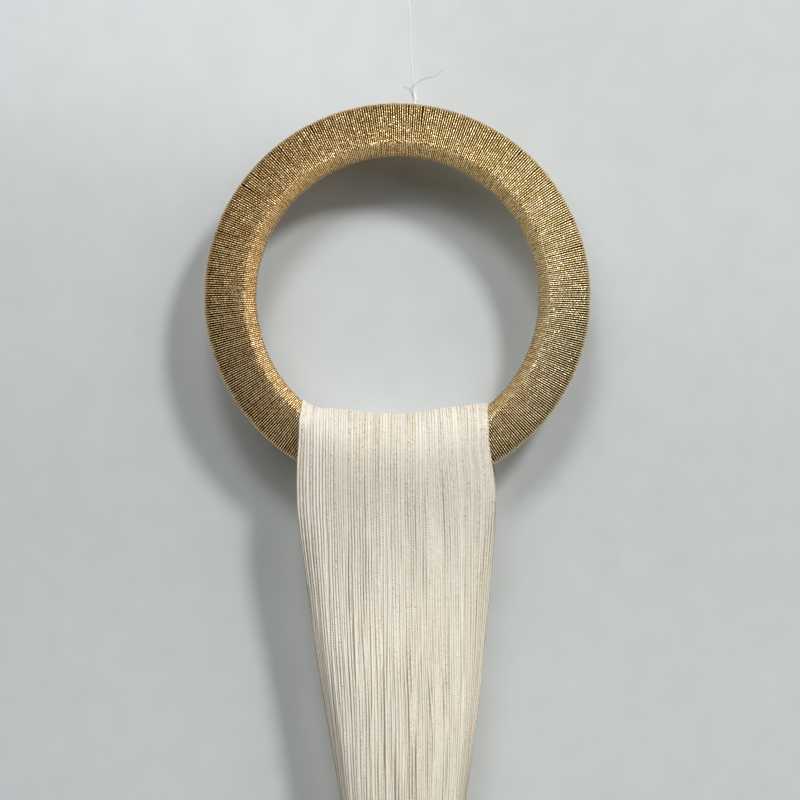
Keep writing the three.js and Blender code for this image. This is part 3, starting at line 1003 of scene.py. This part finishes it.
def loop_paths(q, inset, side_at, depth_t, margin, lean=0.0, wander=0.0, inner=False, close=0.0):
    """Points in the ring's frame for places q (strand, station) across the hank. side_at is the
    cosine of the angle round the arch, 1 on the back sheet and -1 on the front, and depth_t
    how far down the sheet a station lies. close draws the outermost strands together below
    the ring, where they hang between the two sheets, and inner follows the sheets' inside."""
    # As the hank narrows its middle strands hang on plumb and the outer ones turn round the
    # sides, by the angle whose sine over itself is about the share of the width that is left
    narrowing = np.clip(1 - sheet("half", plumb(depth_t)) / WIDEST_HALF, LEAST_NARROWING, 1)
    turn = np.clip(SIDE_TURN * np.sqrt(6 * narrowing), 0, math.pi / 2)
    a = np.sin(np.clip(q, -1, 1) * turn) / np.sin(turn)
    spring = np.sqrt(SPRING_RADIUS ** 2 - (SADDLE_MIDDLE + a * SADDLE_HALF) ** 2)
    drop = spring + (BOUND_DROP - spring) * depth_t
    back = np.clip(side_at, 0, 1)
    half = sheet("half", drop) + back * sheet("backHalf", drop)
    middle = sheet("middle", drop) + back * sheet("backShift", drop)
    x = middle + a * (half - STRAND / 2)
    x = x + flare(RIGHT_FLARE, 1 - a, drop, side_at) - flare(LEFT_FLARE, 1 + a, drop, side_at)
    x = x + wander * (1 - EDGE_CALM * a ** 4) + lean
    fullness = np.clip(1 - a * a, 0, 1) ** sheet("crown", drop)
    outside = sheet("rim", drop) + (sheet("reach", drop) - sheet("rim", drop)) * fullness
    inside = sheet("rimCore", drop) + (sheet("core", drop) - sheet("rimCore", drop)) * fullness
    top = smooth(SADDLE_TOP_X, SADDLE_TOP_DROP, x)
    ring_top = np.sqrt(RING_INNER ** 2 - x ** 2)
    if inner:
        reach = inside + FILL_OVER_CORE
        arch_top = ring_top - FILL_UNDER_RING
    else:
        reach = np.maximum(outside - inset, inside + LAYER_OVER_CORE)
        arch_top = np.minimum(top + inset, ring_top - LAYER_OVER_RING)
    below = step_up((drop - BELOW_RING) / CLOSE_OVER)
    y = side_at * reach * (1 - close * below * np.exp(-((1 - np.abs(a)) / CLOSE_SPAN) ** 2))
    arch = -spring + (spring - arch_top) * np.sqrt(1 - side_at ** 2)
    z = np.where(np.abs(side_at) < 1, arch, -drop)
    return clear_ring(np.stack([x, y, z], axis=-1), margin)


def loop_stations():
    """side_at and depth_t of a strand's stations, and how far along the strand they lie from
    the top of its arch."""
    back_t = np.linspace(1, 0, BACK_STATIONS) ** BACK_SPACING
    front_t = np.linspace(0, 1, FRONT_STATIONS) ** FRONT_SPACING
    arch = np.linspace(0, math.pi, ARCH_STATIONS + 2)[1:-1]
    arch_at = np.linspace(-ARCH_LENGTH, ARCH_LENGTH, ARCH_STATIONS + 2)[1:-1]
    side_at = np.concatenate([np.ones(BACK_STATIONS), np.cos(arch), -np.ones(FRONT_STATIONS)])
    depth_t = np.concatenate([back_t, np.zeros(ARCH_STATIONS), front_t])
    length = BOUND_DROP - SPRING_RADIUS
    at = np.concatenate([-ARCH_LENGTH - length * back_t, arch_at, ARCH_LENGTH + length * front_t])
    return side_at, depth_t, at


def strand_places(rng, count, depth_t):
    """Each strand's place across, -1 to 1, and how far it has sunk below its neighbours, as
    the hank narrows and fewer strands fit side by side."""
    neck_room = NECK_ROOM * step_up((depth_t - NECK_ROOM_FROM) / (1 - NECK_ROOM_FROM))
    wide = 2 * sheet("half", plumb(depth_t)) * (1 + neck_room)
    room = np.clip(wide / (2 * WIDEST_HALF), 0, 1)
    order = (np.arange(count) * GOLDEN + rng.uniform(-ORDER_JITTER, ORDER_JITTER, count)) % 1
    sunk = step_up((order[:, None] - room[None]) / SINK_SOFTNESS + 0.5) * (room[None] < SINK_BELOW_ROOM)
    uneven = np.clip(rng.normal(0, WIDTH_JITTER, (count, 1)), -WIDTH_JITTER_MOST, WIDTH_JITTER_MOST)
    weight = (1 - SINK_WIDTH * sunk) * (1 + uneven)
    total = np.cumsum(weight, axis=0)
    return (2 * (total - weight / 2) / total[-1] - 1), sunk


def hang_loops(yarn):
    rng = np.random.default_rng(SEED + 1)
    side_at, depth_t, at = loop_stations()
    loosen = LOOSE_ON_RING + LOOSE_BELOW * step_up((np.abs(at) - ARCH_LENGTH) / LOOSE_OVER)
    made = []
    above = None
    for number, layer in enumerate(LAYERS):
        count = layer["count"]
        places = np.linspace(0, 1, count)[:, None]
        if above is not None and count == len(above["q"]) - 1:
            # The second layer fills the grooves of the first
            q, sunk, wander = ((above[key][1:] + above[key][:-1]) / 2 for key in ("q", "sunk", "wander"))
            wander = wander + waves(rng, count, at, *SECOND_WAVES)
        else:
            q, sunk = strand_places(rng, count, depth_t)
            bows = np.sin(places * math.pi * SWING_BOWS + SWING_START)
            swing = waves(rng, 1, at, *SWING_WAVES) * bows
            wander = (waves(rng, count, at, layer["wander"], WANDER_LENGTHS) + swing) * loosen
        above = {"q": q, "sunk": sunk, "wander": wander}
        relief = np.abs(waves(rng, count, at, layer["relief"], RELIEF_LENGTHS)) * loosen
        inset = layer["inset"] + relief + SINK_DEPTH * sunk
        slanted = np.exp(-((places - SLANT_AT) / SLANT_WIDTH) ** 2)
        lean = SLANT * slanted * np.exp(-(np.clip(at, 0, None) / SLANT_LENGTH) ** 2)
        lean = lean * (at > -ARCH_LENGTH)
        thick = STRAND / 2 * (1 + waves(rng, count, at, *THICK_WAVES))
        points = loop_paths(
            q, inset, side_at[None], depth_t[None], TURN_CORD / 2 + STRAND / 2 * STRAND_PRESS,
            lean=lean, wander=wander, close=layer["close"],
        )
        made.append(tubes(
            f"yarn_loops_{number + 1}", to_row(points), thick, (1, 0, 0), STRAND_SIDES, yarn,
            phase=rng.uniform(0, LAY_PHASES, count),
        ))
    return made


def fill_hank(yarn):
    """The strands packed behind the outer ones, as one ridged body."""
    side_at, depth_t, _ = loop_stations()
    across = np.linspace(-1, 1, FILL_RIDGES * FILL_RIDGE_STEPS + 1)
    level = np.ones(len(depth_t))
    ridge = 1 - np.abs(np.sin(np.arange(len(across)) * math.pi / FILL_RIDGE_STEPS))
    outer = loop_paths(
        across[:, None] * level, FILL_INSET + FILL_RIDGE * ridge[:, None],
        side_at[None], depth_t[None], FILL_MARGIN,
    )
    inner = loop_paths(
        across[::-FILL_RIDGE_STEPS][:, None] * level, 0,
        side_at[None], depth_t[None], FILL_INNER_MARGIN, inner=True,
    )
    contour = np.concatenate([outer, inner])
    count, stations, _ = contour.shape
    steps = np.linalg.norm(np.diff(contour[count // 4], axis=0), axis=1)
    along = np.concatenate([[0], np.cumsum(steps)])
    line, station = np.meshgrid(np.arange(count), np.arange(stations - 1), indexing="ij")
    here = line * stations + station
    beside = (line + 1) % count * stations + station
    faces = np.stack([here, here + 1, beside + 1, beside], axis=-1)
    ridges = (count + 1) / FILL_RIDGE_STEPS
    lay_uv = corner_uv(
        along[station], along[station + 1], line / FILL_RIDGE_STEPS, (line + 1) / FILL_RIDGE_STEPS
    )
    # These faces run round the other way
    lay_uv = lay_uv[..., [0, 3, 2, 1], :]
    bake = lay_uv / np.array([along[-1], ridges])
    first = np.arange(count) * stations
    caps = [first.tolist(), (first + stations - 1)[::-1].tolist()]
    return add_mesh(
        "yarn_fill", to_row(contour.reshape(-1, 3)), faces.reshape(-1, 4), lay_uv, bake, yarn,
        caps,
    )


def hang_tail(yarn):
    rng = np.random.default_rng(SEED + 2)
    t = np.linspace(0, 1, TAIL_STATIONS)
    spread = smooth(TAIL_SPREAD_AT, TAIL_SPREAD, t)
    made = []
    for number, (end_radius, diameter, sides) in enumerate(TAIL_RINGS):
        count = int(TAU * end_radius / (diameter * TAIL_PITCH))
        order = (np.arange(count) * GOLDEN) % 1
        deeper = TAIL_DEEPER * (order[:, None] > TAIL_DEEPER_FROM)
        root_radius = end_radius * TAIL_ROOT_SHARE
        loose = rng.normal(0, TAIL_LOOSE, (count, 1)) * step_up(t / TAIL_LOOSE_BY)
        radius = root_radius - deeper + (end_radius - root_radius) * spread
        radius = radius + deeper * spread * TAIL_DEEPER_LOST
        radius = radius + loose + waves(rng, count, t, *TAIL_CURL_WAVES) * t
        # Every other ring is turned by half a strand
        angle = TAU * (np.arange(count)[:, None] + 0.5 * (number % 2)) / count
        sway = waves(rng, count, t, *TAIL_SWAY_WAVES) * step_up(t / TAIL_SWAY_BY)
        angle = angle + sway / end_radius
        cut = TAIL_END_DROP + rng.normal(0, TAIL_CUT_JITTER, (count, 1))
        drop = TAIL_TOP_DROP + (cut - TAIL_TOP_DROP) * t
        points = np.stack([
            NECK_MIDDLE + radius * np.cos(angle), radius * np.sin(angle), -drop,
        ], axis=-1)
        made.append(tubes(
            f"tail_strands_{number + 1:02d}", to_row(points), diameter / 2, (0.3, 1, 0), sides, yarn,
            phase=rng.uniform(0, LAY_PHASES, count),
        ))
    return made


def bind_neck(yarn):
    rng = np.random.default_rng(SEED + 3)
    turn = np.linspace(0, BIND_TURNS, BIND_TURNS * BIND_STEPS + 1)
    quick, slow = BIND_WAVE_RATES
    radius = BIND_RADIUS + BIND_CORD / 2 + BIND_WAVE * np.sin(turn * quick) * np.sin(turn * slow)
    tuck = np.minimum(turn, BIND_TURNS - turn) / BIND_TUCK_TURNS
    radius = radius - BIND_TUCK * (1 - step_up(tuck))
    knots = np.arange(BIND_TURNS * BIND_KNOTS + 1) / BIND_KNOTS
    wobble = np.interp(turn, knots, rng.normal(0, BIND_WOBBLE, len(knots)))
    height = BIND_TURNS * BIND_CORD - BIND_CORD
    drop = BIND_TOP_DROP + BIND_CORD / 2 + height * turn / BIND_TURNS + wobble
    angle = TAU * turn + BIND_START * math.pi
    line = np.stack([NECK_MIDDLE + radius * np.cos(angle), radius * np.sin(angle), -drop], axis=-1)
    return tubes(
        "binding_turns", to_row(line)[None], BIND_CORD / 2 * BIND_PRESS, (0, 0, 1), BIND_SIDES, yarn,
        strip=BIND_STEPS,
    )


yarn = yarn_material("cotton_yarn", STRAND_LAY, STRAND_PLIES, CREAM)
# The body behind the outer strands gets the darker copy, painted shade
shaded_yarn = yarn_material("cotton_yarn_shaded", STRAND_LAY, STRAND_PLIES, SHADED_CREAM)
loops = hang_loops(yarn)
tails = hang_tail(yarn)
for piece in [*loops, fill_hank(shaded_yarn), *tails]:
    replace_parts(piece, "yarn_hank")
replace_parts(bind_neck(yarn), "gather_wrap")


# Floor and backdrop

def flat_piece(name, corners, material):
    mesh = bpy.data.meshes.new(name)
    mesh.from_pydata(corners, [], [(0, 1, 2, 3)])
    mesh.materials.append(material)
    made = bpy.data.objects.new(name, mesh)
    bpy.context.scene.collection.objects.link(made)
    return made


floor = flat_piece(
    "floor",
    [(-FLOOR_HALF, -FLOOR_HALF, FLOOR_Z), (FLOOR_HALF, -FLOOR_HALF, FLOOR_Z),
     (FLOOR_HALF, FLOOR_HALF, FLOOR_Z), (-FLOOR_HALF, FLOOR_HALF, FLOOR_Z)],
    floor_material(),
)
floor.visible_diffuse = False
floor.visible_glossy = False
left, right = VIEW_CENTRE[0] - WALL_HALF, VIEW_CENTRE[0] + WALL_HALF
low, high = VIEW_CENTRE[1] - WALL_HALF, VIEW_CENTRE[1] + WALL_HALF
wall = flat_piece(
    "backdrop",
    [(left, WALL_Y, low), (right, WALL_Y, low), (right, WALL_Y, high), (left, WALL_Y, high)],
    wall_material(),
)
wall.visible_transmission = False
wall.visible_shadow = False


# Light

def lamp(name, place, size, power, colour):
    data = bpy.data.lights.new(name, "AREA")
    data.shape = "DISK"
    data.size = size
    data.energy = power
    data.color = colour
    made = bpy.data.objects.new(name, data)
    bpy.context.scene.collection.objects.link(made)
    made.location = place
    direction = np.array(LAMP_AIM) - np.array(place)
    turn = math.atan2(-direction[0], direction[1])
    lift = math.atan2(direction[2], math.hypot(direction[0], direction[1]))
    made.rotation_euler = (math.pi / 2 + lift, 0, turn)


def studio():
    """A plain pale room. Shiny pieces mirror a paler room below them."""
    s = Shader(bpy.data.worlds.new("studio"))
    seen = s.node("ShaderNodeBackground", {"Color": ROOM_SEEN})
    light = s.node("ShaderNodeBackground", {"Color": ROOM_LIGHT, "Strength": ROOM_POWER})
    _, _, height = s.split(s.node("ShaderNodeTexCoord", output="Generated"))
    paler = s.node(
        "ShaderNodeMapRange",
        {"Value": height, "From Min": 0.0, "From Max": -0.8, "To Min": 0.20, "To Max": 1.3},
    )
    mirrored = s.node("ShaderNodeBackground", {"Color": ROOM_MIRRORED, "Strength": paler})
    rays = s.node("ShaderNodeLightPath").node.outputs
    room = s.node("ShaderNodeMixShader", {0: rays["Is Glossy Ray"], 1: light, 2: mirrored})
    surface = s.node("ShaderNodeMixShader", {0: rays["Is Camera Ray"], 1: room, 2: seen})
    return s.finish(surface, "ShaderNodeOutputWorld")


for name, (place, size, power, colour) in LAMPS.items():
    lamp(name, place, size, power, colour)
bpy.context.scene.world = studio()
bpy.context.scene.view_settings.view_transform = "Standard"
